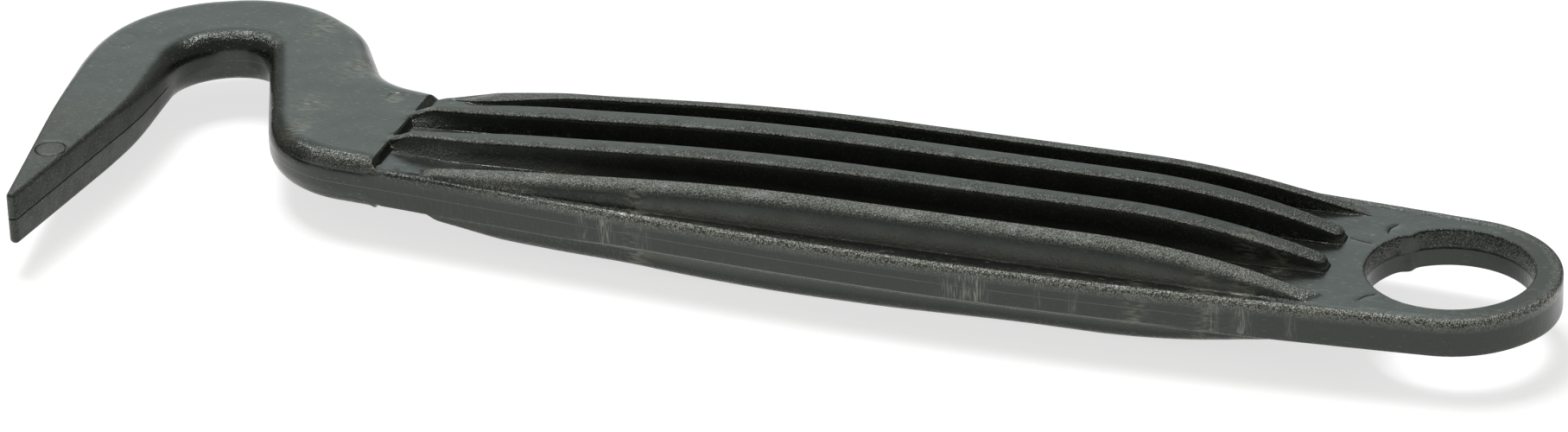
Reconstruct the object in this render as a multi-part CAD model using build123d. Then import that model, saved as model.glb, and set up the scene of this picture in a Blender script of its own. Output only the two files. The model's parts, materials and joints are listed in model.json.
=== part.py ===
"""One-piece moulded plastic hoof pick, 173 mm long, as its named regions.

The origin is the centre of the hanging hole at half thickness. +X runs from the hook to the
hanging eye, +Z is up, and the tool is a mirror image of itself above and below Z = 0, the plane
in which its mould parts. All sizes are in millimetres.
"""
from build123d import *
import math
import os

# Thicknesses
WEB_THICKNESS = 4.4
HEAD_THICKNESS = 6.2

# Hanging eye
BORE_RADIUS = 9.0
EYE_RADIUS = 12.0

# Stations along X at which one region meets the next
STEP_X = -119.5
EYE_SPLIT_X = -12.0
BEND_SPLIT_X = -146.0
BLADE_SPLIT_Y = 8.0

# Half of the grip's lens-shaped outline, as the control points of one Bezier curve. It ends
# tangent to the eye's circle.
LENS_CURVE = [(STEP_X, 10.8), (-72.0, 14.1), (-58.0, 16.5), (0.9, 11.97)]

# Outline of hook and head: corner X, corner Y and corner radius. It runs past the step, so
# that the waist carries on into the grip.
PAST_STEP_X = -108.0
HOOK_CORNERS = [
    (-118.0, 8.4, 2.0),
    (-126.0, 9.7, 8.9),
    (-133.0, 21.0, 12.5),
    (-143.8, 28.0, 14.5),
    (-162.4, 19.7, 16.0),
    (-161.8, 6.1, 30.0),
    (-154.3, -32.2, 0.6),
    (-151.1, -2.2, 50.0),
    (-151.5, 13.6, 6.7),
    (-142.6, 15.2, 3.6),
    (-132.0, -10.0, 13.0),
]
WAIST_END_Y = 14.07
NEAR_END_Y = -11.64

# Rounding of the hook's and head's rims. The tip's own small end stays square.
HOOK_EDGE_RADIUS = 1.0
TIP_END_Y = -27.9

# How close to a face's level counts as lying on it
NEAR = 0.01

# Ribs. Each crest line is a start, corners with a radius, and an end, in X and Z.
RIB_TOP_LIMIT = 9.0
INNER_RIB_Y = (2.1, 4.9)
INNER_CREST = [(STEP_X, 3.1), (-116.9, 4.1), (-77.5, 6.62), (-24.3, 6.55), (-11.7, 2.95)]
INNER_CREST_RADII = [5.0, 370.0, 88.0]
OUTER_RIB_Y = (8.9, 11.4)
OUTER_CREST = [(-113.9, 2.2), (-112.0, 2.97), (-77.5, 5.85), (-25.5, 5.75), (-9.8, 1.85)]
OUTER_CREST_RADII = [3.0, 285.0, 95.0]
OUTER_CREST_TILT = 9.6


def slab(outline, thickness):
    """A flat region of the moulding, centred on the parting plane."""
    return extrude(outline, amount=thickness / 2, both=True)


def block(x_range, y_range, z_range=(-20.0, 20.0)):
    """A box between two limits on each axis, for cutting one region from the next."""
    sizes = [high - low for low, high in (x_range, y_range, z_range)]
    middle = [(high + low) / 2 for low, high in (x_range, y_range, z_range)]
    return Pos(*middle) * Box(*sizes)


def hook_outline():
    """Plan of hook and head together, closed beyond the step."""
    corners = [(PAST_STEP_X, WAIST_END_Y)]
    corners += [(x, y) for x, y, _ in HOOK_CORNERS]
    corners += [(PAST_STEP_X, NEAR_END_Y)]
    radii = [radius for _, _, radius in HOOK_CORNERS]
    path = FilletPolyline(*corners, radius=radii)
    closing = Line(path @ 1, path @ 0)
    return make_face([*path.edges(), closing.edge()])


def lens_outline():
    """Plan of the whole grip, from the step to the eye's circle."""
    far = Bezier(*LENS_CURVE)
    near = Bezier(*[(x, -y) for x, y in LENS_CURVE])
    left = Line(near @ 0, far @ 0)
    right = Line(near @ 1, far @ 1)
    return make_face([far.edge(), near.edge(), left.edge(), right.edge()])


def grip_outline(hook):
    """The lens less what the waist takes off its far corner."""
    beside_waist = block((STEP_X, PAST_STEP_X), (0, 20)) - slab(hook, 40)
    return slab(lens_outline(), WEB_THICKNESS) - beside_waist


def on_hook_rim(edge):
    """True for an edge along the top or bottom of hook and head, the tip's end apart."""
    at = edge.center()
    level = abs(abs(at.Z) - HEAD_THICKNESS / 2) < NEAR
    return level and at.X < PAST_STEP_X - NEAR and at.Y > TIP_END_Y


def make_rib(crest, radii, y_range, tilt, side):
    """One upper rib: a crest profile in XZ drawn out sideways, its top sloping outward."""
    floor_z = WEB_THICKNESS / 2
    inner_y, outer_y = y_range
    crest_path = FilletPolyline(*[(x, 0, z) for x, z in crest], radius=radii)
    start, end = crest[0], crest[-1]
    below = Polyline((end[0], 0, end[1]), (end[0], 0, 0), (start[0], 0, 0), (start[0], 0, start[1]))
    profile = Pos(0, side * inner_y, 0) * make_face([*crest_path.edges(), *below.edges()])
    run = Vector(0, side * math.cos(math.radians(tilt)), -math.sin(math.radians(tilt)))
    rib = extrude(profile, amount=(outer_y - inner_y) / math.cos(math.radians(tilt)), dir=run)
    return rib & block((STEP_X, EYE_SPLIT_X), (-20, 20), (floor_z, RIB_TOP_LIMIT))


def make_regions():
    """Every named region of the moulding."""
    hook = hook_outline()
    head_part = slab(hook, HEAD_THICKNESS)
    head_part = fillet([e for e in head_part.edges() if on_hook_rim(e)], HOOK_EDGE_RADIUS)
    head_part = head_part & block((-200, STEP_X), (-60, 60))
    left_of_bend = (-200, BEND_SPLIT_X)
    blade = head_part & block(left_of_bend, (-60, BLADE_SPLIT_Y))
    bend = head_part & block(left_of_bend, (BLADE_SPLIT_Y, 60))
    head = head_part & block((BEND_SPLIT_X, STEP_X), (-60, 60))

    grip = grip_outline(hook)
    web = grip & block((STEP_X, EYE_SPLIT_X), (-20, 20))
    eye = grip & block((EYE_SPLIT_X, 20), (-20, 20))
    eye = eye + slab(Circle(EYE_RADIUS).face(), WEB_THICKNESS)
    eye = eye - slab(Circle(BORE_RADIUS).face(), 2 * WEB_THICKNESS)

    regions = {
        "hook_blade": blade,
        "hook_bend": bend,
        "head": head,
        "grip_web": web,
        "hanging_eye": eye,
    }
    lens_wall = slab(lens_outline(), 40)
    rib_number = 0
    for side, kind in ((1, "outer"), (1, "inner"), (-1, "inner"), (-1, "outer")):
        rib_number += 1
        if kind == "outer":
            rib = make_rib(OUTER_CREST, OUTER_CREST_RADII, OUTER_RIB_Y, OUTER_CREST_TILT, side)
            rib = rib & lens_wall
        else:
            rib = make_rib(INNER_CREST, INNER_CREST_RADII, INNER_RIB_Y, 0.0, side)
        regions[f"upper_rib_{rib_number}"] = rib
        regions[f"lower_rib_{rib_number}"] = mirror(rib, about=Plane.XY)
    return regions


os.makedirs("parts", exist_ok=True)
for name, region in make_regions().items():
    export_step(region, f"parts/{name}.step")
    print(f"{name}: {region.volume:.1f} mm3")
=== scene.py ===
"""Looks of the one-piece moulded hoof pick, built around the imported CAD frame.

The whole tool is one skin. Its plan outline, its ribs and its hole give lines of points, those
are triangulated once, and a height function lifts every point to the upper surface. The lower
surface is its mirror image, without the marks and with a deeper near outer rib, and a wall with
the mould's parting line joins the two. Sizes inside the skin's functions are in millimetres;
Blender's are in metres.
"""

import json
import math

import bpy
import numpy as np
from mathutils import Matrix, Vector, kdtree
from mathutils.geometry import delaunay_2d_cdt


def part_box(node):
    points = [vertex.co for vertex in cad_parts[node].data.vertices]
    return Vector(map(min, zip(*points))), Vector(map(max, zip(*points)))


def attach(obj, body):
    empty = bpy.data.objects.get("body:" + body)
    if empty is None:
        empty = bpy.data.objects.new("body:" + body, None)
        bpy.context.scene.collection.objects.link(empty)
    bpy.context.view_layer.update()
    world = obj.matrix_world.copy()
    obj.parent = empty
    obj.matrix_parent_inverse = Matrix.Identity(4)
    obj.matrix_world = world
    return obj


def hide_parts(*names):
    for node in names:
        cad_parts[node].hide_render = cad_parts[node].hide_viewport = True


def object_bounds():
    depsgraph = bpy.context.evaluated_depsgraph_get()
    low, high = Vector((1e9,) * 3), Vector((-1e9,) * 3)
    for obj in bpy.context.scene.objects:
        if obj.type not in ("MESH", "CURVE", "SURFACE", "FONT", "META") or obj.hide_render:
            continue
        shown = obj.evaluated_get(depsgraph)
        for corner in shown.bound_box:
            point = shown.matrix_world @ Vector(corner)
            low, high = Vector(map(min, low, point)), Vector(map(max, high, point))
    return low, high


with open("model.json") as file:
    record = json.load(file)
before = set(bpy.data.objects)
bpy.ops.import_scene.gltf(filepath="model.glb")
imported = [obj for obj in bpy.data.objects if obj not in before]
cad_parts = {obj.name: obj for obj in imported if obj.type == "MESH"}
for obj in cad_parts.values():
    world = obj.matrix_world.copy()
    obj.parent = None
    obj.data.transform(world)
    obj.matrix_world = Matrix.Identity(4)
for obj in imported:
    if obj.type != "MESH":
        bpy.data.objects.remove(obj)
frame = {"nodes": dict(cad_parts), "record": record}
CAD_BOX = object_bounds()
MM = 0.001


def box_mm(node):
    """Lowest and highest corner of a CAD node, in millimetres."""
    low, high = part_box(node)
    return low / MM, high / MM


# ---------------------------------------------------------------- sizes taken from the frame
STEP_X = box_mm("grip_web")[0].x
WEB_HALF = box_mm("grip_web")[1].z
HEAD_HALF = box_mm("head")[1].z
EYE_RADIUS = box_mm("hanging_eye")[1].x
BORE_RADIUS = frame["record"]["mounts"][0]["dims"]["r_mm"]

# ---------------------------------------------------------------- outline
# Half of the grip's lens, as one Bezier curve, and the corners of hook and head with radii.
LENS_CURVE = [(STEP_X, 10.8), (-72.0, 14.1), (-58.0, 16.5), (0.9, 11.97)]
PAST_STEP_X = -108.0
HOOK_CORNERS = [
    (-118.0, 8.4, 2.0),
    (-126.0, 9.7, 8.9),
    (-133.0, 21.0, 12.5),
    (-143.8, 28.0, 14.5),
    (-162.4, 19.7, 16.0),
    (-161.8, 6.1, 30.0),
    (-154.3, -32.2, 0.6),
    (-151.1, -2.2, 50.0),
    (-151.5, 13.6, 6.7),
    (-142.6, 15.2, 3.6),
    (-132.0, -10.0, 13.0),
]
WAIST_END_Y = 14.07
NEAR_END_Y = -11.64

# Rim roundings. The blade's grows from the tip along Y. The grip's is narrowest just past the
# step, and on the near side it widens again further on.
HEAD_RIM = 2.35
TIP_RIM = 0.55
BLADE_RIM_Y = (-11.0, 12.0)
BLADE_MAX_X = -146.0
NARROW_RIM = 0.32
NARROW_RIM_X = (-116.0, -110.0)
WEB_RIM = 0.42
WEB_RIM_X = (-98.0, -88.0)
NEAR_RIM = 0.72
NEAR_RIM_Y = (2.0, 8.0)
BORE_RIM = 0.22

# The head's rim turns into the grip's from a little before the step, far side and near side
RIM_CHANGE_BEFORE = (0.1, 0.6)
RIM_CHANGE_RUN = 1.8

# Angles round a rim, a crest and the hole's edge at which lines of points lie, and the distance
# of the guard line past them, which keeps the rounding from the flat face
RIM_ANGLES = [0, 9, 20, 32, 45, 58, 70, 80, 90]
CREST_ANGLES = [20, 40, 60, 90]
BORE_ANGLES = [0, 25, 45, 65, 90]
GUARD = 0.14

# Where the ribs' lines of points start: just past the step, the crest's inner lines further on,
# and an outer rib's a little before the rib
LINE_START = 0.02
CREST_START_BACK = 3.0
OUTER_LINE_BEFORE = 0.3

# Remnant of the moulding gate in the hole's wall. Angles are in degrees.
NUB_ANGLE = 134.0
NUB_HALF_ANGLE = 5.0
NUB_DEPTH = 0.5
BORE_PITCH = 0.25

# The step is a short slope from the head's face down to the web's. Its lines of points stay
# clear of the near and the far side.
STEP_RUN = 0.7
STEP_LINE_SHARES = (0.0, 0.25, 0.5, 0.75, 1.0)
STEP_LINE_CLEAR = (2.6, 4.0)
STEP_LINE_POINTS = 60

# Ribs: crest lines as corners with radii in X and Z, and edge lines as X and Y stations. A
# rounding takes at most a share of the rib's height. Where there is no rib, its height lies
# below every face.
INNER_CREST = [
    (STEP_X, HEAD_HALF),
    (-116.9, 4.2),
    (-100.0, 4.95),
    (-77.5, 6.61),
    (-24.3, 6.55),
    (-11.7, 2.95),
]
INNER_CREST_RADII = [5.0, 200.0, 370.0, 88.0]
OUTER_CREST = [(-112.0, 2.97), (-104.0, 3.8), (-77.5, 5.85), (-25.5, 5.75), (-9.8, 1.85)]
OUTER_CREST_RADII = [3.0, 60.0, 285.0, 95.0]
OUTER_START_X = {1: -117.0, -1: -113.9}
OUTER_CREST_SLOPE = 0.16
CREST_ROUND = 0.5
OUTER_WALL_ROUND = 1.0
WALL_DRAFT = 0.12
ROUND_SHARE = 0.6
NO_RIB = -9.0
INNER_FOOT_NEAR = [(STEP_X, 1.75), (-112.0, 2.0), (-100.0, 2.05), (-12.0, 2.05)]
INNER_FOOT_FAR = [
    (STEP_X, 4.3),
    (-116.0, 4.75),
    (-111.0, 5.45),
    (-103.0, 5.7),
    (-84.0, 5.0),
    (-24.0, 4.95),
    (-12.0, 4.6),
]
INNER_TOP_NEAR = [(STEP_X, 2.3), (-117.5, 2.6), (-113.0, 2.45), (-105.0, 2.2), (-12.0, 2.2)]
INNER_TOP_FAR = [
    (STEP_X, 3.95),
    (-117.0, 4.0),
    (-113.5, 4.3),
    (-108.0, 4.85),
    (-100.0, 4.95),
    (-24.0, 4.8),
    (-12.0, 4.45),
]
INNER_END_X = -12.2
INNER_END_ROUND = 1.0
INNER_END_DRAFT = 2.5 * WALL_DRAFT
OUTER_FOOT_IN = {
    1: [
        (-117.4, 8.0),
        (-115.1, 7.6),
        (-113.2, 7.5),
        (-110.2, 7.9),
        (-107.3, 8.45),
        (-103.0, 8.95),
        (-98.0, 9.05),
        (-24.0, 8.85),
        (-9.0, 9.4),
    ],
    -1: [(-115.0, 9.2), (-105.0, 9.05), (-24.0, 8.85), (-9.0, 9.4)],
}
OUTER_WALL_Y = 11.4
OUTER_FOOT_CLEAR = 0.06

# The near outer rib stands deeper on the lower face, by a share of its height: one share all
# along, and another that is added towards the step. Both fade out towards the eye. The rib lies
# beyond NEAR_RIB_Y.
DEEPER_SHARE = 0.13
DEEPER_AT_STEP = 0.4
DEEPER_AT_STEP_X = (-105.0, -87.0)
DEEPER_END_X = (-62.0, -42.0)
DEEPER_START = 3.0
NEAR_RIB_Y = -8.0

# Towards the step the inner ribs lean to the near side
LEAN = -1.2
LEAN_X = (-118.0, -100.0)

# Spacing of points along lines, and of the points between them, which keep a share of their
# spacing from every line. Lines closer to each other than the least gap are left out.
LINE_PITCH = 0.42
FILL_PITCH = 0.72
FILL_CLEAR_SHARE = 0.55
LEAST_GAP = 0.1

# Parting line half way up the wall: a groove on the blade, and from the throat on a raised
# flash. Rows of points a little clear of it keep it from the rest of the wall.
BLADE_GROOVE = 0.12
BLADE_GROOVE_END_X = (-146.0, -142.0)
BLADE_GROOVE_END_Y = (1.0, 9.0)
GRIP_FLASH = 0.02
GRIP_FLASH_START_X = (-141.0, -137.0)
GRIP_FLASH_END_X = (-30.0, -18.0)
PARTING_HALF = 0.07
PARTING_CLEAR = (0.12, 0.04)
PARTING_FOOT = 0.2

# Marks on the upper face. Rings left by ejector pins: centre, radius and depth. Nicks beside the
# hole: start, middle, end and depth. A shallow oval pit.
MARK_RINGS = [(-154.8, -17.4, 1.7, 0.15), (-158.5, 10.0, 1.7, 0.015)]
MARK_LINES = [
    ((-8.45, 6.33), (-8.5, 7.3), (-7.86, 8.23), 0.12),
    ((-7.3, -9.3), (-6.9, -8.4), (-5.9, -7.8), 0.06),
    ((-12.1, 3.8), (-10.5, 3.4), (-9.0, 3.2), 0.05),
]
MARK_HALF = 0.08
MARK_LINE_OFFSETS = (-2.2, -1.1, 0.0, 1.1, 2.2)
PIT = (-122.9, 5.2)
PIT_RADII = (1.05, 1.4)
PIT_DEPTH = 0.08
PIT_SIDE = (0.6, 1.05)
PIT_OVALS = (0.4, 0.75, 0.82, 0.9, 0.98, 1.05, 1.2)

# Half way down the hole's wall is a small ledge
BORE_LEDGE_Z = 0.0
BORE_LEDGE = 0.04

# Edges of the mesh that turn by more than this, in degrees, stay sharp
SHARP_FROM = 38


def spline_y(stations):
    """A function of X that runs smoothly through X, Y stations."""
    xs, ys = np.array(stations).T
    slope = np.diff(ys) / np.diff(xs)
    turning = slope[1:] * slope[:-1] <= 0
    middle = np.where(turning, 0, 2 * slope[1:] * slope[:-1] / (slope[1:] + slope[:-1] + 1e-12))
    tangent = np.concatenate([slope[:1], middle, slope[-1:]])

    def at(x):
        x = np.asarray(x, float)
        k = np.clip(np.searchsorted(xs, x) - 1, 0, len(xs) - 2)
        run = xs[k + 1] - xs[k]
        t = np.clip((x - xs[k]) / run, 0, 1)
        blend = t * t * (3 - 2 * t)
        bow = t * (1 - t) * run * (tangent[k] * (1 - t) - tangent[k + 1] * t)
        return ys[k] + (ys[k + 1] - ys[k]) * blend + bow

    return at


def rise(value, start, end):
    """0 up to start, 1 from end on, and an S curve between."""
    t = np.clip((value - start) / (end - start), 0, 1)
    return t * t * (3 - 2 * t)


def lean(x):
    """How far the inner ribs lie off their straight lines, along Y."""
    return LEAN * (1 - rise(x, *LEAN_X))


def straight(a, b, pitch):
    """Points from a up to but not including b."""
    n = max(1, math.ceil(np.linalg.norm(b - a) / pitch))
    return [a + (b - a) * i / n for i in range(n)]


def rounded_path(corners, radii, pitch=LINE_PITCH, turn=math.radians(7)):
    """Points along straight runs that are joined by tangent arcs."""
    corners = [np.array(c, float) for c in corners]
    points, last = [], corners[0]
    for before, corner, after, radius in zip(corners, corners[1:], corners[2:], radii):
        u = (before - corner) / np.linalg.norm(before - corner)
        v = (after - corner) / np.linalg.norm(after - corner)
        half = math.acos(np.clip(u @ v, -1, 1)) / 2
        start = corner + u * radius / math.tan(half)
        end = corner + v * radius / math.tan(half)
        middle = (u + v) / np.linalg.norm(u + v)
        centre = corner + middle * radius / math.sin(half)
        first = math.atan2(*(start - centre)[::-1])
        sweep = math.atan2(*(end - centre)[::-1]) - first
        sweep = (sweep + math.pi) % (2 * math.pi) - math.pi
        n = max(3, math.ceil(abs(sweep) * radius / pitch), math.ceil(abs(sweep) / turn))
        points += straight(last, start, pitch)
        for i in range(n):
            a = first + sweep * i / n
            points.append(centre + radius * np.array([math.cos(a), math.sin(a)]))
        last = end
    points += straight(last, corners[-1], pitch) + [corners[-1]]
    return np.array(points)


def bezier(controls, n):
    """n + 1 points along a cubic Bezier curve."""
    t = np.linspace(0, 1, n + 1)[:, None]
    p = np.array(controls, float)
    return (1 - t) ** 3 * p[0] + 3 * t * (1 - t) ** 2 * p[1] + 3 * t * t * (1 - t) * p[2] + t**3 * p[3]


LENS = bezier(LENS_CURVE, round((LENS_CURVE[-1][0] - STEP_X) / LINE_PITCH))


def lens_half_width(x):
    """Half of the lens's width in Y at X."""
    return np.interp(x, LENS[:, 0], LENS[:, 1])


def make_outline():
    """The tool's closed plan outline: hook, head, grip and eye."""
    corners = [(PAST_STEP_X, WAIST_END_Y)]
    corners += [(x, y) for x, y, _ in HOOK_CORNERS]
    corners += [(PAST_STEP_X, NEAR_END_Y)]
    hook = rounded_path(corners, [radius for _, _, radius in HOOK_CORNERS])
    outside = (hook[:, 0] > STEP_X) & (np.abs(hook[:, 1]) > lens_half_width(hook[:, 0]) - 0.05)
    past_near = (hook[:, 0] > STEP_X - LINE_PITCH / 2) & (hook[:, 1] < 0)
    hook = hook[~(outside | past_near)]
    near = LENS * [1, -1]
    far = LENS[::-1]
    far = far[far[:, 0] > hook[0, 0] + LINE_PITCH / 2]
    first = math.atan2(LENS[-1, 1], LENS[-1, 0])
    n = round(2 * first * EYE_RADIUS / LINE_PITCH)
    angles = np.linspace(-first, first, n + 1)[1:-1]
    eye = EYE_RADIUS * np.stack([np.cos(angles), np.sin(angles)], 1)
    return np.concatenate([hook, near, eye, far])


def inward_normals(loop):
    """Unit normals that point into a closed loop of points."""
    ahead = np.roll(loop, -1, 0) - np.roll(loop, 1, 0)
    normal = np.stack([-ahead[:, 1], ahead[:, 0]], 1)
    normal /= np.linalg.norm(normal, axis=1)[:, None]
    x, y = loop.T
    area = (x * np.roll(y, -1) - np.roll(x, -1) * y).sum()
    return normal * np.sign(area)


def rim_radius(points):
    """Rounding radius of the rim beside each plan point."""
    x, y = points.T
    blade = TIP_RIM + (HEAD_RIM - TIP_RIM) * rise(y, *BLADE_RIM_Y)
    radius = np.where(x < BLADE_MAX_X, blade, HEAD_RIM)
    narrow = rise(x, *NARROW_RIM_X) * (1 - rise(x, *WEB_RIM_X))
    grip = WEB_RIM + (NARROW_RIM - WEB_RIM) * narrow
    grip += (NEAR_RIM - WEB_RIM) * rise(-y, *NEAR_RIM_Y) * rise(x, *WEB_RIM_X)
    change = STEP_X - np.where(y > 0, *RIM_CHANGE_BEFORE)
    return radius + (grip - radius) * rise(x, change, change + RIM_CHANGE_RUN)


OUTLINE = make_outline()
OUTLINE_NORMAL = inward_normals(OUTLINE)
OUTLINE_RADIUS = rim_radius(OUTLINE)


def from_outline(points, batch=2000):
    """Distance of each point from the outline, and the rim radius at the nearest place on it."""
    run = np.roll(OUTLINE, -1, 0) - OUTLINE
    length2 = (run**2).sum(1)
    next_radius = np.roll(OUTLINE_RADIUS, -1)
    distance = np.empty(len(points))
    radius = np.empty(len(points))
    for first in range(0, len(points), batch):
        part = slice(first, first + batch)
        off = points[part, None, :] - OUTLINE
        t = np.clip((off * run).sum(2) / length2, 0, 1)
        d = np.linalg.norm(off - t[..., None] * run, axis=2)
        nearest = d.argmin(1)
        rows = np.arange(len(nearest))
        t = t[rows, nearest]
        distance[part] = d[rows, nearest]
        radius[part] = (1 - t) * OUTLINE_RADIUS[nearest] + t * next_radius[nearest]
    return distance, radius


# ---------------------------------------------------------------- ribs
INNER_CREST_LINE = rounded_path(INNER_CREST, INNER_CREST_RADII)
OUTER_CREST_LINE = {
    side: rounded_path([(start_x, WEB_HALF), *OUTER_CREST], OUTER_CREST_RADII)
    for side, start_x in OUTER_START_X.items()
}
inner_foot_near = spline_y(INNER_FOOT_NEAR)
inner_foot_far = spline_y(INNER_FOOT_FAR)
inner_top_near = spline_y(INNER_TOP_NEAR)
inner_top_far = spline_y(INNER_TOP_FAR)
outer_foot_in = {side: spline_y(stations) for side, stations in OUTER_FOOT_IN.items()}


def outline_half_width(x, side):
    """Distance of the grip's edge from the long axis: the lens, less what the waist takes off it."""
    edge = OUTLINE[(OUTLINE[:, 1] * side > 0) & (OUTLINE[:, 0] > STEP_X - 1)]
    edge = edge[edge[:, 0].argsort()]
    return np.interp(x, edge[:, 0], np.abs(edge[:, 1]))


def outer_foot_out(x, side):
    """The outer rib's outer foot: straight, but always inside the rim's rounding."""
    radius = rim_radius(np.stack([x, np.zeros_like(x)], 1))
    return np.minimum(OUTER_WALL_Y, outline_half_width(x, side) - radius - OUTER_FOOT_CLEAR)


def corner_depth(side, end, radius):
    """Depth inside a shape from its depths past a side and an end, with a rounded corner."""
    a, b = radius - side, radius - end
    round_corner = radius - np.hypot(np.maximum(a, 0), np.maximum(b, 0))
    return np.where((a > 0) & (b > 0), round_corner, np.minimum(side, end))


def crest_round(depth, radius):
    """How far a rounded edge lies below the flat it leads to."""
    k = np.clip(depth / radius, 0, 1)
    return radius * (1 - np.sqrt(np.maximum(0, 1 - (1 - k) ** 2)))


def rib_surface(crest, foot, top, rounding):
    """Height of a rib from its depths inside foot and top lines."""
    radius = np.clip((crest - WEB_HALF) * ROUND_SHARE, 1e-3, rounding)
    edge = crest - crest_round(top, radius)
    wall = foot / np.maximum(foot - top, 1e-3)
    side = WEB_HALF + np.clip(wall, 0, 1) * (crest - radius - WEB_HALF)
    return np.where(top > 0, edge, np.where(foot > 0, side, NO_RIB))


def inner_rib(x, y):
    """Height of an inner rib, with Y counted outward from the long axis."""
    crest = np.interp(x, INNER_CREST_LINE[:, 0], INNER_CREST_LINE[:, 1])
    foot = np.minimum(y - inner_foot_near(x), inner_foot_far(x) - y)
    top = np.minimum(y - inner_top_near(x), inner_top_far(x) - y)
    foot = corner_depth(foot, INNER_END_X - x, INNER_END_ROUND)
    top = corner_depth(top, INNER_END_X - INNER_END_DRAFT - x, INNER_END_ROUND)
    height = rib_surface(crest, foot, top, CREST_ROUND)
    return np.where(x >= STEP_X, height, NO_RIB)


def outer_rib(x, y, side):
    """Height of an outer rib, with Y counted outward; side is 1 for the far one, -1 for the near."""
    line = OUTER_CREST_LINE[side]
    crest = np.interp(x, line[:, 0], line[:, 1])
    inner, outer = outer_foot_in[side](x), outer_foot_out(x, side)
    crest = crest - OUTER_CREST_SLOPE * (y - inner)
    foot = np.minimum(y - inner, outer - y)
    rounding = np.where(y - inner < outer - y, CREST_ROUND, OUTER_WALL_ROUND)
    height = rib_surface(crest, foot, foot - WALL_DRAFT, rounding)
    along = (x > line[0, 0]) & (x < line[-1, 0])
    return np.where(along, height, NO_RIB)


def face_height(x):
    """Half thickness of the flat faces: head, step and web."""
    return HEAD_HALF + (WEB_HALF - HEAD_HALF) * rise(x, STEP_X, STEP_X + STEP_RUN)


def bore_radius(angle):
    """Radius of the hole's edge: round, but for the remnant of the moulding gate."""
    off = (angle - math.radians(NUB_ANGLE) + math.pi) % (2 * math.pi) - math.pi
    return BORE_RADIUS - NUB_DEPTH * np.exp(-((off / math.radians(NUB_HALF_ANGLE)) ** 2))


def surface_height(points):
    """Height of the upper surface over plan points."""
    x, y = points.T
    distance, radius = from_outline(points)
    height = face_height(x) - crest_round(distance, radius)
    bore = np.hypot(x, y) - bore_radius(np.arctan2(y, x))
    height -= crest_round(np.maximum(bore, 0), BORE_RIM)
    for side in (1, -1):
        height = np.maximum(height, inner_rib(x, side * (y - lean(x))))
        height = np.maximum(height, outer_rib(x, side * y, side))
    return height


def parting_depth(points):
    """Depth of the parting line: a groove on the blade, a fine raised flash from the throat on."""
    x, y = points.T
    groove = (1 - rise(x, *BLADE_GROOVE_END_X)) * (1 - rise(y, *BLADE_GROOVE_END_Y))
    flash = rise(x, *GRIP_FLASH_START_X) * (1 - rise(x, *GRIP_FLASH_END_X))
    return BLADE_GROOVE * groove - GRIP_FLASH * flash


def mark_paths():
    """Plan path and depth of every fine groove on the upper face."""
    turn = np.linspace(0, 2 * math.pi, 46)
    paths = []
    for x, y, radius, depth in MARK_RINGS:
        paths.append((np.stack([x + radius * np.cos(turn), y + radius * np.sin(turn)], 1), depth))
    for start, middle, end, depth in MARK_LINES:
        paths.append((bezier([start, middle, middle, end], 12), depth))
    return paths


def mark_depth(points):
    """How far the marks lower the upper face."""
    depth = np.zeros(len(points))
    for path, groove in mark_paths():
        near = np.abs(points - path.mean(0)).max(1) < 4
        away = np.linalg.norm(points[near, None] - path, axis=2).min(1)
        depth[near] += groove * np.exp(-((away / MARK_HALF) ** 2))
    pit = np.hypot((points[:, 0] - PIT[0]) / PIT_RADII[0], (points[:, 1] - PIT[1]) / PIT_RADII[1])
    return depth + PIT_DEPTH * (1 - rise(pit, *PIT_SIDE))


# ---------------------------------------------------------------- lines of points
class Plan:
    """Plan points and the edges that the triangulation keeps."""

    def __init__(self):
        self.points = []
        self.edges = []

    def line(self, points, closed=False):
        """Adds points in a row and the edges between them; gives the first one's number."""
        base = sum(len(p) for p in self.points)
        n = len(points)
        self.points.append(np.asarray(points, float))
        self.edges += [(base + i, base + i + 1) for i in range(n - 1)]
        if closed:
            self.edges.append((base + n - 1, base))
        return base

    def all(self):
        return np.concatenate(self.points)


def rounding_offsets(radius, angles):
    """How far in from an edge the lines of its rounding lie, one for each angle round it."""
    return [radius * (1 - math.cos(math.radians(a))) for a in angles]


def add_rim(plan):
    """Rim lines, the outline first."""
    starts = []
    for inset in rounding_offsets(OUTLINE_RADIUS, RIM_ANGLES):
        starts.append(plan.line(OUTLINE + OUTLINE_NORMAL * inset[:, None], closed=True))
    plan.line(OUTLINE + OUTLINE_NORMAL * (OUTLINE_RADIUS + GUARD)[:, None], closed=True)
    return starts[0]


def add_bore(plan):
    """Lines round the hole, and its edge as a loop."""
    n = round(2 * math.pi * BORE_RADIUS / BORE_PITCH)
    angles = np.arange(n) * 2 * math.pi / n
    ring = np.stack([np.cos(angles), np.sin(angles)], 1)
    edge = bore_radius(angles)
    insets = rounding_offsets(BORE_RIM, BORE_ANGLES) + [BORE_RIM + GUARD]
    starts = [plan.line(ring * (edge + inset)[:, None], closed=True) for inset in insets]
    return starts[0], ring * edge[:, None]


def x_stations(start, end):
    """Evenly spaced X places along a rib."""
    return np.linspace(start, end, max(2, round(abs(end - start) / LINE_PITCH)))


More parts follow.
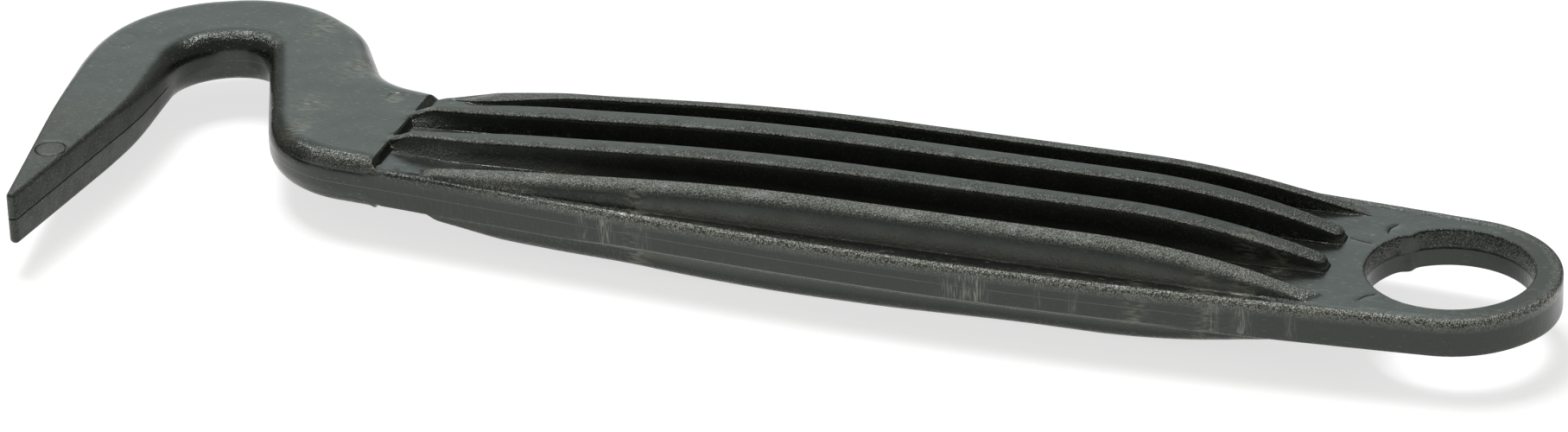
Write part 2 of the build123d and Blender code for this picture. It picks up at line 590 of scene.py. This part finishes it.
def add_inner_rib(plan, side):
    """Lines along an inner rib: guard, foot, wall, crest rounding and crest."""
    lines = [(0.0, -GUARD), (0.0, 0.0), (0.5, 0.0), (1.0, 0.0)]
    lines += [(1.0, inset) for inset in rounding_offsets(CREST_ROUND, CREST_ANGLES)]
    lines += [(1.0, CREST_ROUND + GUARD)]
    for share, depth in lines:
        end_x = INNER_END_X - INNER_END_DRAFT * share - depth
        corner = INNER_END_ROUND - depth
        first = STEP_X + LINE_START
        if share == 1:
            first += CREST_START_BACK * depth / CREST_ROUND
        xs = x_stations(first, end_x - corner)
        near = inner_foot_near(xs) * (1 - share) + inner_top_near(xs) * share + depth
        far = inner_foot_far(xs) * (1 - share) + inner_top_far(xs) * share - depth
        keep = far - near > LEAST_GAP
        xs, near, far = xs[keep], near[keep], far[keep]
        turn = np.linspace(0, math.pi / 2, 8)[1:]
        arc_x = end_x - corner + corner * np.sin(turn)
        arc_in = corner * (1 - np.cos(turn))
        path_x = np.concatenate([xs, arc_x, arc_x[::-1], xs[::-1]])
        path_y = np.concatenate([near, near[-1] + arc_in, (far[-1] - arc_in)[::-1], far[::-1]])
        plan.line(np.stack([path_x, side * path_y + lean(path_x)], 1))


def add_outer_rib(plan, side):
    """Lines along both edges of an outer rib, as far as the rib is wide enough for them."""
    line = OUTER_CREST_LINE[side]
    xs = x_stations(line[0, 0] - OUTER_LINE_BEFORE, line[-1, 0])
    inner, outer = outer_foot_in[side](xs), outer_foot_out(xs, side)

    def edge_lines(foot, inward, rounding):
        insets = [0.0, WALL_DRAFT]
        insets += [WALL_DRAFT + inset for inset in rounding_offsets(rounding, CREST_ANGLES)]
        for inset in insets:
            wide = outer - inner > 2 * inset + LEAST_GAP
            plan.line(np.stack([xs, side * (foot + inward * inset)], 1)[wide])

    plan.line(np.stack([xs, side * (inner - GUARD)], 1))
    edge_lines(inner, 1, CREST_ROUND)
    edge_lines(outer, -1, OUTER_WALL_ROUND)


def add_step(plan):
    """Lines across the step's slope, clear of the rims."""
    width = lens_half_width(STEP_X)
    ys = np.linspace(STEP_LINE_CLEAR[0] - width, width - STEP_LINE_CLEAR[1], STEP_LINE_POINTS)
    for share in STEP_LINE_SHARES:
        plan.line(np.stack([np.full(len(ys), STEP_X + STEP_RUN * share), ys], 1))


def add_marks(plan):
    """Lines along the fine grooves, and ovals round the pit."""
    for path, _ in mark_paths():
        along = np.gradient(path, axis=0)
        across = np.stack([-along[:, 1], along[:, 0]], 1) / np.linalg.norm(along, axis=1)[:, None]
        for offset in MARK_LINE_OFFSETS:
            plan.line((path + across * offset * MARK_HALF)[:-1])
    turn = np.linspace(0, 2 * math.pi, 40)[:-1]
    oval = np.stack([PIT_RADII[0] * np.cos(turn), PIT_RADII[1] * np.sin(turn)], 1)
    for share in PIT_OVALS:
        plan.line(PIT + share * oval, closed=True)


def inside(points, loop):
    """True for points inside a closed loop."""
    x, y = points.T
    result = np.zeros(len(points), bool)
    nxt = np.roll(loop, -1, 0)
    for (ax, ay), (bx, by) in zip(loop, nxt):
        if ay == by:
            continue
        crosses = (ay > y) != (by > y)
        result ^= crosses & (x < (bx - ax) * (y - ay) / (by - ay) + ax)
    return result


def add_fill(plan):
    """An even field of points wherever no line is near."""
    known = plan.all()
    tree = kdtree.KDTree(len(known))
    for i, (x, y) in enumerate(known):
        tree.insert((x, y, 0), i)
    tree.balance()
    low, high = OUTLINE.min(0), OUTLINE.max(0)
    rows = []
    row_pitch = FILL_PITCH * math.sqrt(3) / 2
    for j, y in enumerate(np.arange(low[1], high[1], row_pitch)):
        xs = np.arange(low[0] + (j % 2) * FILL_PITCH / 2, high[0], FILL_PITCH)
        rows.append(np.stack([xs, np.full(len(xs), y)], 1))
    field = np.concatenate(rows)
    field = field[inside(field, OUTLINE)]
    field = field[np.hypot(*field.T) > BORE_RADIUS]
    clear = [tree.find((x, y, 0))[2] > FILL_PITCH * FILL_CLEAR_SHARE for x, y in field]
    plan.points.append(field[np.array(clear)])


# ---------------------------------------------------------------- the skin
def near_rib_depth(points, height):
    """How much deeper the near outer rib stands on the lower face than on the upper one."""
    x, y = points.T
    share = DEEPER_SHARE + DEEPER_AT_STEP * (1 - rise(x, *DEEPER_AT_STEP_X))
    share *= 1 - rise(x, *DEEPER_END_X)
    on_rib = (y < NEAR_RIB_Y) & (x > STEP_X + DEEPER_START)
    return share * np.clip(height - WEB_HALF, 0, None) * on_rib


def triangulate(plan, hole):
    """Points, triangles between outline and hole, and the number that each planned point got."""
    flat = plan.all()
    planned = [Vector(p) for p in flat]
    points, _, faces, source, _, _ = delaunay_2d_cdt(planned, plan.edges, [], 0, 1e-5, True)
    points = np.array(points)
    faces = np.array(faces)
    index_of = np.full(len(flat), -1)
    for i, came_from in enumerate(source):
        for planned_index in came_from:
            index_of[planned_index] = i
    centres = points[faces].mean(1)
    faces = faces[inside(centres, OUTLINE) & ~inside(centres, hole)]
    a, b, c = (points[faces[:, k]] for k in range(3))
    area = (b[:, 0] - a[:, 0]) * (c[:, 1] - a[:, 1]) - (b[:, 1] - a[:, 1]) * (c[:, 0] - a[:, 0])
    faces[area < 0] = faces[area < 0][:, ::-1]
    return points, faces, index_of


def add_wall(coords, polygons, loop, normal, rows):
    """Joins the upper and lower face along a loop by rows of points, each a height and an inset."""
    upper = coords[0]
    edge = upper[loop, :2]
    n = len(loop)
    base = sum(len(c) for c in coords)
    rings = [list(loop)]
    for level, inset in rows:
        depth = np.broadcast_to(inset, n)[:, None]
        coords.append(np.column_stack([edge + normal * depth, np.broadcast_to(level, n)]))
        rings.append([base + i for i in range(n)])
        base += n
    rings.append([len(upper) + i for i in loop])
    for upper_ring, lower_ring in zip(rings, rings[1:]):
        for i in range(n):
            j = (i + 1) % n
            polygons.append((upper_ring[i], lower_ring[i], lower_ring[j], upper_ring[j]))


def rim_rows(points, height):
    """Rows of the outer wall from the top down, with the parting line in the middle."""
    seam = parting_depth(points)
    above = [(height * 0.5, 0.0)]
    above += [(PARTING_HALF + clear, 0.0) for clear in PARTING_CLEAR]
    above += [(PARTING_HALF, PARTING_FOOT * seam)]
    below = [(-level, inset) for level, inset in reversed(above)]
    return [*above, (0.0, seam), *below]


def bore_rows(nub, height):
    """Rows of the hole's wall from the top down: the gate's remnant thins out, and a ledge sets in."""
    half = height * 0.5
    return [
        (half, 0.35 * nub),
        (BORE_LEDGE_Z + 0.12, 0.72 * nub),
        (BORE_LEDGE_Z, 0.75 * nub),
        (BORE_LEDGE_Z - 0.08, 0.8 * nub - BORE_LEDGE),
        (BORE_LEDGE_Z - 0.2, 0.77 * nub - BORE_LEDGE),
        (-half, 0.6 * nub - BORE_LEDGE),
    ]


def make_skin():
    """The whole moulding as one mesh.

    Known flaw: each face keeps 15 sliver triangles along straight stretches of the hook's
    outline, so 30 edges belong to one triangle only and 60 edges to three.
    """
    plan = Plan()
    rim_start = add_rim(plan)
    bore_start, bore_edge = add_bore(plan)
    for side in (1, -1):
        add_inner_rib(plan, side)
        add_outer_rib(plan, side)
    add_step(plan)
    add_marks(plan)
    add_fill(plan)
    points, faces, index_of = triangulate(plan, bore_edge)

    height = surface_height(points)
    upper = np.column_stack([points, height - mark_depth(points)])
    lower = np.column_stack([points, -height - near_rib_depth(points, height)])
    coords = [upper, lower]
    polygons = [tuple(f) for f in faces]
    polygons += [tuple(len(points) + i for i in f[::-1]) for f in faces]
    rim = index_of[rim_start : rim_start + len(OUTLINE)]
    add_wall(coords, polygons, rim, OUTLINE_NORMAL, rim_rows(points[rim], height[rim]))
    bore = index_of[bore_start : bore_start + len(bore_edge)][::-1]
    radius = np.hypot(*points[bore].T)
    outward = points[bore] / radius[:, None]
    add_wall(coords, polygons, bore, outward, bore_rows(BORE_RADIUS - radius, height[bore]))

    mesh = bpy.data.meshes.new("hoof_pick_skin")
    mesh.from_pydata(np.concatenate(coords) * MM, [], polygons)
    mesh.validate()
    mesh.update()
    mesh.shade_smooth()
    mesh.set_sharp_from_angle(angle=math.radians(SHARP_FROM))
    made = bpy.data.objects.new("hoof_pick_moulding", mesh)
    bpy.context.scene.collection.objects.link(made)
    return made


skin = make_skin()


# ---------------------------------------------------------------- where the plastic is rough
# Smears of dust: centre in X and Y, and radius
DUST = [
    (-131.3, 0.9, 1.6),
    (-130.3, -5.0, 1.5),
    (-138.5, 24.0, 1.5),
    (-122.9, 5.2, 1.0),
    (-21.0, -4.1, 1.2),
    (-17.3, -4.9, 1.0),
    (-23.9, -11.8, 1.0),
    (-19.7, -11.4, 1.1),
    (-30.5, -14.6, 1.2),
    (-22.6, -13.9, 1.0),
    (-137.4, 19.6, 2.0),
    (-129.4, 11.4, 2.2),
    (-88.0, -11.5, 1.2),
]
DUST_STRETCH = 1.4

# Pale upright scuffs on the near wall: place along X, half width and strength
SCUFFS = [
    (-91.0, 0.8, 0.75),
    (-93.7, 0.5, 0.4),
    (-86.4, 0.6, 0.3),
    (-50.3, 1.6, 0.55),
    (-48.0, 0.9, 0.7),
    (-41.3, 0.3, 0.5),
    (-37.4, 0.4, 0.4),
    (-22.2, 0.6, 0.5),
    (-19.0, 0.8, 0.6),
    (-13.8, 0.4, 0.4),
]

# The grain's band on an inner rib's top, as a share of its width, is narrower towards the step
BAND_SHARE = 0.48
BAND_LESS = 0.2
BAND_FULL_X = (-115.0, -85.0)
BAND_BLUR = 0.12
RIB_ENDS_X = (-24.0, -10.0)
OUTER_RIB_GRAIN = 0.85

# Rough rim of the grip, and the thin flash lines at the ribs' feet
RIM_ROUGH = 1.1
FLASH_HALF = 0.03
INNER_FLASH = 0.6
OUTER_FLASH = 0.8
OUTER_FLASH_X = (-88.0, -18.0)


class Surface:
    """Each vertex's place in millimetres, which way it faces, and its distance from the outline."""

    def __init__(self, mesh):
        place, normal = np.empty(len(mesh.vertices) * 3), np.empty(len(mesh.vertices) * 3)
        mesh.vertices.foreach_get("co", place)
        mesh.vertex_normals.foreach_get("vector", normal)
        place = place.reshape(-1, 3) / MM
        self.x, self.y, self.z = place.T
        self.right_facing, normal_y, normal_z = normal.reshape(-1, 3).T
        self.near_facing = -normal_y
        self.flat = np.abs(normal_z)
        self.rim, _ = from_outline(place[:, :2])
        self.on_grip = rise(self.x, STEP_X, STEP_X + 3)
        self.wall = (1 - rise(self.flat, 0.1, 0.4)) * rise(self.near_facing, 0.2, 0.6)


def inner_rib_grain(x, y, side):
    """Grain on an inner rib's top: a band along its near edge, and all over towards the eye."""
    v = side * (y - lean(x))
    low, high = inner_top_near(x), inner_top_far(x)
    from_near = v - low if side > 0 else high - v
    band_share = BAND_SHARE - BAND_LESS * (1 - rise(x, *BAND_FULL_X))
    band = 1 - rise(from_near / (high - low), band_share - BAND_BLUR, band_share + BAND_BLUR)
    on_rib = (v > inner_foot_near(x) - 0.1) & (v < inner_foot_far(x) + 0.1) & (x > STEP_X) & (x < -12)
    started = rise(x, STEP_X + 0.2, STEP_X + 1.4)
    return on_rib * started * np.maximum(band, rise(x, *RIB_ENDS_X))


def rib_grain(s):
    """Coarse grain on the ribs: on parts of the inner ones' tops and all over the outer ones."""
    grain = np.zeros(len(s.x))
    for side in (1, -1):
        grain = np.maximum(grain, inner_rib_grain(s.x, s.y, side))
        v = side * s.y
        line = OUTER_CREST_LINE[side]
        on_rib = (v > outer_foot_in[side](s.x)) & (v < outer_foot_out(s.x, side))
        on_rib &= (s.x > line[0, 0]) & (s.x < line[-1, 0] + 1.5)
        grain = np.maximum(grain, on_rib * OUTER_RIB_GRAIN)
    grain *= rise(np.abs(s.z), WEB_HALF - 0.05, WEB_HALF + 0.25)
    return grain * (0.14 + 0.86 * rise(s.flat, 0.25, 0.65))


def hook_edges(s):
    """The rounded edges of throat and neck that face the near side."""
    throat = rise(s.near_facing, 0.12, 0.42) * rise(s.flat, 0.48, 0.73)
    neck = rise(s.near_facing, 0.28, 0.53) * rise(s.flat, 0.38, 0.63)
    neck *= 0.12 + 0.88 * rise(s.x, -132, -126)
    return np.where(s.y < 0, neck, throat)


def grip_rim(s):
    """The band along the grip's outline."""
    ridge = (1 - rise(s.rim, 0.5 * RIM_ROUGH, RIM_ROUGH)) * s.on_grip
    return ridge * rise(np.abs(s.z), 0.9, 1.7)


def rough_bore(s):
    """The upper half of the hole's wall, without the gate's remnant."""
    in_bore = (np.hypot(s.x, s.y) < BORE_RADIUS + 0.15) & (s.z > 0.1)
    at_nub = bore_radius(np.arctan2(s.y, s.x)) < BORE_RADIUS - 0.1 * NUB_DEPTH
    return in_bore & ~at_nub


def wear_and_highlight(s, edges, ridge, rib_face):
    """Where pale marks lie, partly real rubbing and partly painted highlight on the edges towards the
    near side: the near rim, the near outer rib, rib edges and the neck's edge.
    """
    rim = ridge * rise(s.near_facing, -0.1, 0.2) * rise(s.x, -112, -98) * rise(s.z, 1.1, 1.8)
    near_rib = 0.75 * (s.y < NEAR_RIB_Y) * rib_face * rise(s.flat, 0.4, 0.7)
    rib_edge = 0.55 * rib_face * rise(s.near_facing, 0.05, 0.3) * rise(s.flat, 0.3, 0.55)
    upper_neck = (1 - s.on_grip) * (s.y < 0) * (s.z > 0)
    neck = 0.45 * edges * rise(s.x, -130, -126) * upper_neck
    return np.maximum.reduce([rim, near_rib, rib_edge, neck])


def blade_face(s):
    """The blade's flat, fading out up the bend."""
    return (1 - rise(s.x, -150, -146)) * (1 - rise(s.y, -18, 8))


def matt_areas(s):
    """Duller areas: the blade and its wall, the eye's right end and the ribs' tops."""
    blade_wall = (s.right_facing > 0.5) * (1 - rise(s.x, -147, -144)) * (1 - rise(s.y, 2, 10))
    blade = np.maximum(blade_face(s) * s.flat, blade_wall * (0.8 + 0.5 * (s.z > 0.03)))
    eye = rise(s.x, -1, 8) * (s.flat > 0.7)
    ribs = 0.9 * (s.z > WEB_HALF + 0.3) * s.on_grip
    return np.maximum.reduce([blade, eye, ribs])


def foot_flash(s):
    """Thin pale lines along the near feet of the near ribs."""
    inner = np.abs(lean(s.x) - inner_foot_far(s.x) - s.y) < FLASH_HALF
    inner = INNER_FLASH * inner * (s.x > STEP_X + 1) * (s.x < INNER_END_X - 1)
    outer = np.abs(OUTER_WALL_Y + s.y) < FLASH_HALF
    outer = OUTER_FLASH * outer * (s.x > OUTER_FLASH_X[0]) * (s.x < OUTER_FLASH_X[1])
    return (inner + outer) * (np.abs(s.z) < WEB_HALF + 0.1)


def pale_lines(s):
    """Pale lines: the parting line and the ribs' feet, where the mould closed, and a line along the
    lower near rim, on the band of its rounding that faces the near side.
    """
    parting = (np.abs(s.z) < PARTING_HALF / 2) * rise(s.x, -150, -144) * (1 - rise(s.x, -30, -18))
    lower_rim = (s.z < 0) & (s.near_facing > 0.7) & (s.flat > 0.27) & (s.flat < 0.42) & (s.rim < 0.2)
    lower_rim = lower_rim * rise(s.x, -113, -107) * (1 - rise(s.x, -30, -24))
    return np.maximum.reduce([0.5 * parting, foot_flash(s), 1.1 * lower_rim])


def brushed(s, edges):
    """Upright brushing of the grip's near wall, and stronger of the neck's near edge."""
    wall = s.wall * s.on_grip * (0.35 + 0.65 * (1 - rise(s.x, -100, -40)))
    neck = 2.0 * edges * (s.x > -142) * (1 - s.on_grip) * (s.y < 0)
    return np.maximum(wall, neck)


def scuffs(s):
    """Pale upright scuffs on the near wall."""
    strength = np.zeros(len(s.x))
    for place, half_width, most in SCUFFS:
        strength += most * np.exp(-(((s.x - place) / half_width) ** 2))
    return s.wall * strength * (s.rim < 0.6) * (s.y < NEAR_RIB_Y)


def dust_smears(s):
    """Smears of dust, a little longer in Y than in X."""
    dust = np.zeros(len(s.x))
    for x, y, radius in DUST:
        dust += np.exp(-(((s.x - x) / radius) ** 2) - ((s.y - y) / (DUST_STRETCH * radius)) ** 2)
    return dust


def paint_masks(mesh):
    """Writes the masks that the material reads, one value for each vertex."""
    s = Surface(mesh)
    edges = hook_edges(s)
    ridge = grip_rim(s)
    rib_face = rib_grain(s)
    rim_grain = ridge * (s.near_facing > -0.5) * np.where(s.z > 0, 0.9, 0.15)
    grains = [0.75 * edges, rim_grain, rib_face, 0.3 * blade_face(s), 0.8 * rough_bore(s)]
    masks = {
        "rough": np.maximum.reduce(grains),
        "streak": brushed(s, edges),
        "dust": dust_smears(s),
        "seam": pale_lines(s),
        "worn_and_highlight": wear_and_highlight(s, edges, ridge, rib_face),
        "matt": matt_areas(s),
        "scuff": scuffs(s),
    }
    for name, values in masks.items():
        layer = mesh.attributes.new(name, "FLOAT", "POINT")
        layer.data.foreach_set("value", values.astype(np.float32))


paint_masks(skin.data)


# ---------------------------------------------------------------- material
PLASTIC = (0.0078, 0.0084, 0.0072, 1)
PLASTIC_IOR = 1.56
PLASTIC_SHEEN = (0.92, 1.0, 0.93, 1)
# Pale colour of every small mark, which on the rough edges and those towards the near side also stands
# for painted glints and highlights
PALE_FLECK_AND_GLINT = (0.38, 0.375, 0.335, 1)
DUSTY = (0.26, 0.245, 0.19, 1)


class Nodes:
    """Adds shader nodes; an input is either a value or another node's output."""

    def __init__(self, tree):
        self.tree = tree

    def add(self, kind, inputs, output=0, **settings):
        node = self.tree.nodes.new(kind)
        for name, value in settings.items():
            setattr(node, name, value)
        for name, value in inputs.items():
            if isinstance(value, bpy.types.NodeSocket):
                self.tree.links.new(value, node.inputs[name])
            else:
                node.inputs[name].default_value = value
        return node.outputs[output]

    def mask(self, name):
        """A value that paint_masks wrote."""
        return self.add("ShaderNodeAttribute", {}, output="Fac", attribute_name=name)

    def noise(self, place, scale, stretch=(1, 1, 1), detail=2.0):
        scaled = self.add("ShaderNodeMapping", {"Vector": place, "Scale": stretch})
        return self.add("ShaderNodeTexNoise", {"Vector": scaled, "Scale": scale, "Detail": detail})

    def math(self, operation, a, b):
        return self.add("ShaderNodeMath", {0: a, 1: b}, operation=operation)

    def ramp(self, value, start, end, low=0.0, high=1.0):
        inputs = {"Value": value, "From Min": start, "From Max": end, "To Min": low, "To Max": high}
        return self.add("ShaderNodeMapRange", inputs)

    def mix(self, share, a, b):
        inputs = {"Factor": share, 6: a, 7: b}
        return self.add("ShaderNodeMix", inputs, output=2, data_type="RGBA")


def plastic():
    """Black injection-moulded plastic: smooth faces, coarse grain along edges, flecks and dust. Some
    pale flecks on the edges are painted glints and highlights.
    """
    material = bpy.data.materials.new("moulded_plastic")
    material.use_nodes = True
    shader = material.node_tree.nodes["Principled BSDF"]
    nodes = Nodes(material.node_tree)
    place = nodes.add("ShaderNodeTexCoord", {}, output="Object")
    rough, streak, dust = nodes.mask("rough"), nodes.mask("streak"), nodes.mask("dust")

    grain = nodes.noise(place, 6500.0, stretch=(1, 0.45, 0.45))
    pores = nodes.noise(place, 4300.0, detail=1.0)
    upright = nodes.noise(place, 3000.0, stretch=(1, 1, 0.22))
    lengthwise = nodes.noise(place, 3600.0, stretch=(0.25, 1, 1))
    wave = nodes.noise(place, 210.0, detail=1.0)
    patches = nodes.noise(place, 420.0)

    broken = nodes.math("MULTIPLY", rough, nodes.ramp(patches, 0.3, 0.55, 0.45, 1.0))
    grain_depth = nodes.ramp(broken, 0.0, 1.0, 0.008, 0.17)
    coarse = nodes.math("MULTIPLY", nodes.math("ADD", grain, pores), grain_depth)
    brushing = nodes.math("MULTIPLY", upright, nodes.math("MULTIPLY", streak, 0.09))
    drawn = nodes.math("MULTIPLY", lengthwise, 0.006)
    height = nodes.math("ADD", nodes.math("ADD", coarse, brushing), drawn)
    height = nodes.math("ADD", height, nodes.math("MULTIPLY", wave, 0.12))
    bump = nodes.add("ShaderNodeBump", {"Height": height, "Distance": MM, "Strength": 1.0})

    # Pale spots wherever the plastic is rough: partly real pale grains, partly painted glints of
    # light, mostly on the rough edges.
    speck_noise = nodes.noise(place, 6000.0, stretch=(1, 0.6, 0.6), detail=1.0)
    specks_and_glints = nodes.ramp(speck_noise, 0.56, 0.68)
    specks_and_glints = nodes.math("MULTIPLY", specks_and_glints, nodes.math("MULTIPLY", broken, 0.45))
    dash_noise = nodes.noise(place, 5200.0, stretch=(0.2, 1, 1))
    dashes = nodes.ramp(dash_noise, 0.63, 0.73, 0.0, 0.26)
    dashes = nodes.math("MULTIPLY", dashes, nodes.ramp(streak, 0.0, 0.4, 1.0, 0.2))
    pale_line_share = nodes.math("MULTIPLY", nodes.mask("seam"), 0.42)
    # Pale marks on the edges towards the near side: partly real rubbing, partly painted highlight.
    chip_noise = nodes.noise(place, 7500.0, stretch=(1, 0.7, 0.7), detail=1.0)
    chips_and_highlight = nodes.ramp(chip_noise, 0.45, 0.64, 0.03, 0.8)
    chips_and_highlight = nodes.math("MULTIPLY", nodes.mask("worn_and_highlight"), chips_and_highlight)
    scratch_noise = nodes.noise(place, 5200.0, stretch=(1, 1, 0.12))
    scratches = nodes.ramp(scratch_noise, 0.47, 0.66, 0.04, 0.75)
    scratches = nodes.math("MULTIPLY", nodes.mask("scuff"), scratches)
    # All pale marks in one: partly real, partly painted glints and highlights.
    fleck_and_glint = specks_and_glints
    for layer in (dashes, pale_line_share, chips_and_highlight, scratches):
        fleck_and_glint = nodes.math("MAXIMUM", fleck_and_glint, layer)

    smear = nodes.math("MULTIPLY", dust, nodes.ramp(lengthwise, 0.42, 0.66, 0.0, 0.5))
    colour = nodes.mix(smear, nodes.mix(fleck_and_glint, PLASTIC, PALE_FLECK_AND_GLINT), DUSTY)
    cloudy = nodes.ramp(patches, 0.35, 0.65, -0.3, 0.3)
    spoilt = nodes.math("ADD", nodes.math("MAXIMUM", broken, dust), cloudy)
    gloss = nodes.ramp(spoilt, 0.0, 1.0, 0.22, 0.36)
    gloss = nodes.math("ADD", gloss, nodes.math("MULTIPLY", nodes.mask("matt"), 0.3))

    links = material.node_tree.links
    links.new(colour, shader.inputs["Base Color"])
    links.new(gloss, shader.inputs["Roughness"])
    links.new(bump, shader.inputs["Normal"])
    shader.inputs["IOR"].default_value = PLASTIC_IOR
    shader.inputs["Specular Tint"].default_value = PLASTIC_SHEEN
    return material


skin.data.materials.append(plastic())
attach(skin, "root")
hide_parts(*sorted(frame["nodes"]))


# ---------------------------------------------------------------- floor, light and camera
# A pale floor that glows, so that it comes out white, and a dim grey room with a bright window in
# the world behind the tool, to the left, and a softbox above it. Places and sizes are in metres.
FLOOR_HALF = 6.0
FLOOR_GLOW = 0.69
FLOOR_TONE = (0.40, 0.40, 0.40, 1)
ROOM = (0.25, 0.255, 0.232, 1)
WINDOW = (1.03, 1.155, 1.145, 1)
WINDOW_AZIMUTH = math.radians(-21.0)
WINDOW_HALF_WIDTH = (0.12, 0.38)
WINDOW_AHEAD = (0.0, 0.3)
WINDOW_TOP = (0.60, 0.80)
SOFTBOX_PLACE = (-0.35, 0.25, 0.85)
SOFTBOX_SIZE = (0.45, 0.4)
SOFTBOX_POWER = 9.0
SOFTBOX_TARGET = (-0.09, 0, 0)


def make_floor():
    """A floor at the height of the tool's lowest point."""
    mesh = bpy.data.meshes.new("floor")
    corners = [(FLOOR_HALF * x, FLOOR_HALF * y, 0) for x, y in ((-1, -1), (1, -1), (1, 1), (-1, 1))]
    mesh.from_pydata(corners, [], [(0, 1, 2, 3)])
    floor = bpy.data.objects.new("floor", mesh)
    bpy.context.scene.collection.objects.link(floor)
    floor.location.z = CAD_BOX[0][2]
    material = bpy.data.materials.new("floor_white")
    material.use_nodes = True
    shader = material.node_tree.nodes["Principled BSDF"]
    shader.inputs["Base Color"].default_value = FLOOR_TONE
    shader.inputs["Roughness"].default_value = 0.9
    shader.inputs["Specular IOR Level"].default_value = 0.0
    shader.inputs["Emission Color"].default_value = (1, 1, 1, 1)
    shader.inputs["Emission Strength"].default_value = FLOOR_GLOW
    mesh.materials.append(material)


def area_light(name, place, target, size, power):
    """A rectangular lamp that shines at a target."""
    data = bpy.data.lights.new(name, "AREA")
    data.shape = "RECTANGLE"
    data.size, data.size_y = size
    data.energy = power
    lamp = bpy.data.objects.new(name, data)
    bpy.context.scene.collection.objects.link(lamp)
    lamp.location = place
    lamp.rotation_euler = (Vector(place) - Vector(target)).to_track_quat("Z", "Y").to_euler()


def make_light():
    """The room and its window as the world's colour by direction, and the softbox."""
    world = bpy.data.worlds.new("studio")
    bpy.context.scene.world = world
    world.use_nodes = True
    nodes = Nodes(world.node_tree)
    direction = nodes.add("ShaderNodeTexCoord", {}, output="Generated")
    ahead = (math.sin(WINDOW_AZIMUTH), math.cos(WINDOW_AZIMUTH), 0)
    across = (math.cos(WINDOW_AZIMUTH), -math.sin(WINDOW_AZIMUTH), 0)

    def along(axis):
        inputs = {0: direction, 1: axis}
        return nodes.add("ShaderNodeVectorMath", inputs, output="Value", operation="DOT_PRODUCT")

    aside = nodes.math("ABSOLUTE", along(across), 0.0)
    window = nodes.ramp(aside, *WINDOW_HALF_WIDTH, 1.0, 0.0)
    window = nodes.math("MULTIPLY", window, nodes.ramp(along(ahead), *WINDOW_AHEAD))
    window = nodes.math("MULTIPLY", window, nodes.ramp(along((0, 0, 1)), *WINDOW_TOP, 1.0, 0.0))
    colour = nodes.mix(window, ROOM, WINDOW)
    world.node_tree.links.new(colour, world.node_tree.nodes["Background"].inputs["Color"])
    area_light("softbox", SOFTBOX_PLACE, SOFTBOX_TARGET, SOFTBOX_SIZE, SOFTBOX_POWER)


# The camera looks at the tool from the right of its near side. Angles are in degrees, the place
# and the focal length in millimetres.
CAMERA_AZIMUTH = 20.64
CAMERA_ELEVATION = 27.37
CAMERA_ROLL = 2.04
CAMERA_PLACE = (169.6, -649.5, 356.9)
CAMERA_LENS = 164.0


def make_camera():
    """The camera, turned about its own line of sight by the roll."""
    a, e, roll = (math.radians(v) for v in (CAMERA_AZIMUTH, CAMERA_ELEVATION, CAMERA_ROLL))
    forward = Vector((-math.sin(a) * math.cos(e), math.cos(a) * math.cos(e), -math.sin(e)))
    right = Vector((math.cos(a), math.sin(a), 0))
    down = forward.cross(right)
    turned_right = math.cos(roll) * right + math.sin(roll) * down
    turned_down = math.cos(roll) * down - math.sin(roll) * right
    data = bpy.data.cameras.new("camera")
    data.lens = CAMERA_LENS
    data.sensor_width = 36.0
    data.clip_end = 20.0
    camera = bpy.data.objects.new("camera", data)
    bpy.context.scene.collection.objects.link(camera)
    axes = Matrix((turned_right, -turned_down, -forward)).transposed()
    camera.matrix_world = Matrix.Translation(Vector(CAMERA_PLACE) * MM) @ axes.to_4x4()
    bpy.context.scene.camera = camera


make_floor()
make_light()
make_camera()
bpy.context.scene.view_settings.view_transform = "Standard"
